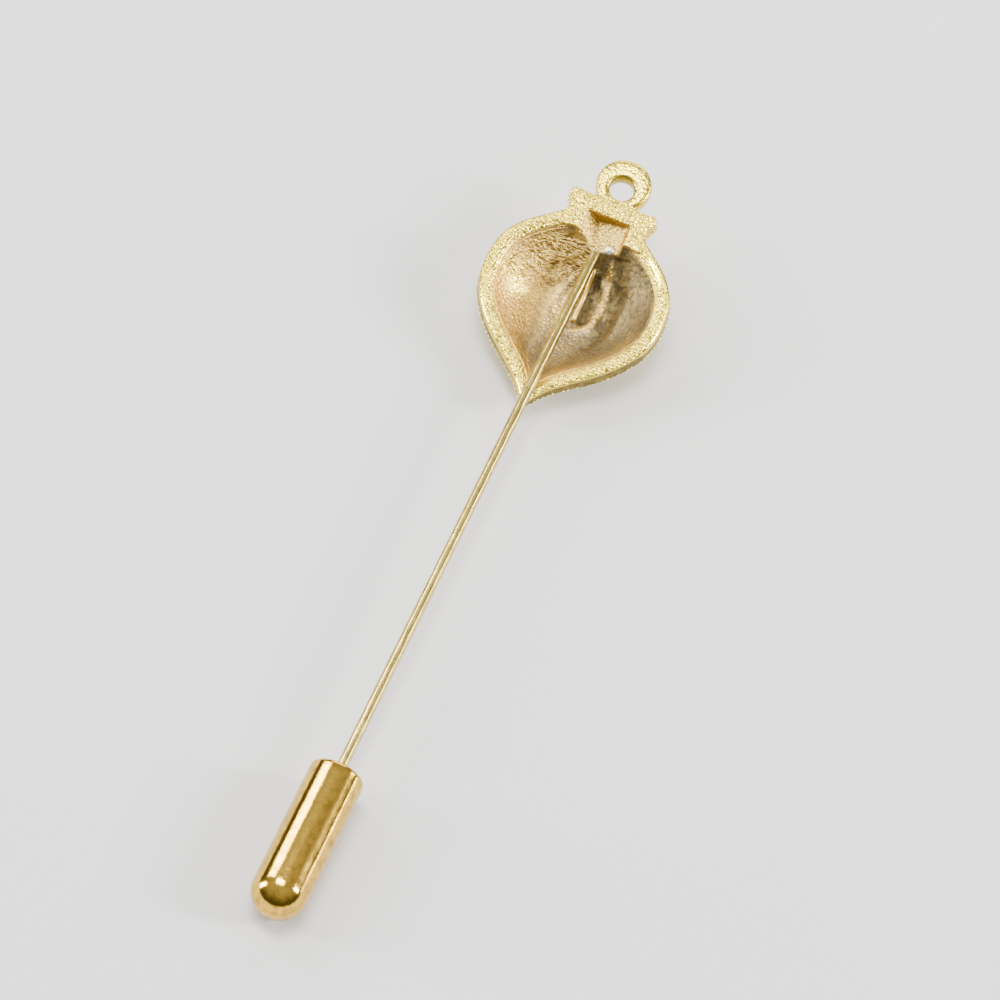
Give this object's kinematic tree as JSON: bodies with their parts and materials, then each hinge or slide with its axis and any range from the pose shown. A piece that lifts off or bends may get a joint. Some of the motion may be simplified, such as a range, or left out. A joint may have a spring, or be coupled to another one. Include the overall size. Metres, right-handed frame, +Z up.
{
  "type": "stick pin",
  "caption": "Cast metal stick pin: a hollow-backed onion drop with a collar and loop, a soldered straight wire stem and a bullet clutch on its point.",
  "frame": {"origin": "middle of the part's bounding box in plan, on the surface that the pin lies on", "axes": "+Y along the pin towards its loop, +Z up, out of the drop's hollow back"},
  "size_m": [0.0152, 0.0713, 0.0064],
  "materials": {
    "cast_gold": "satin",
    "clutch_gold": "polished"
  },
  "bodies": {
    "pin": {"ornament": "cast_gold"},
    "clutch": {"clutch": "clutch_gold"}
  },
  "joints": [
    {"name": "clutch_slide", "type": "slide", "parent": "pin", "child": "clutch", "axis": [0, -0.9996, -0.0279], "range_m": [0, 0.012]}
  ]
}
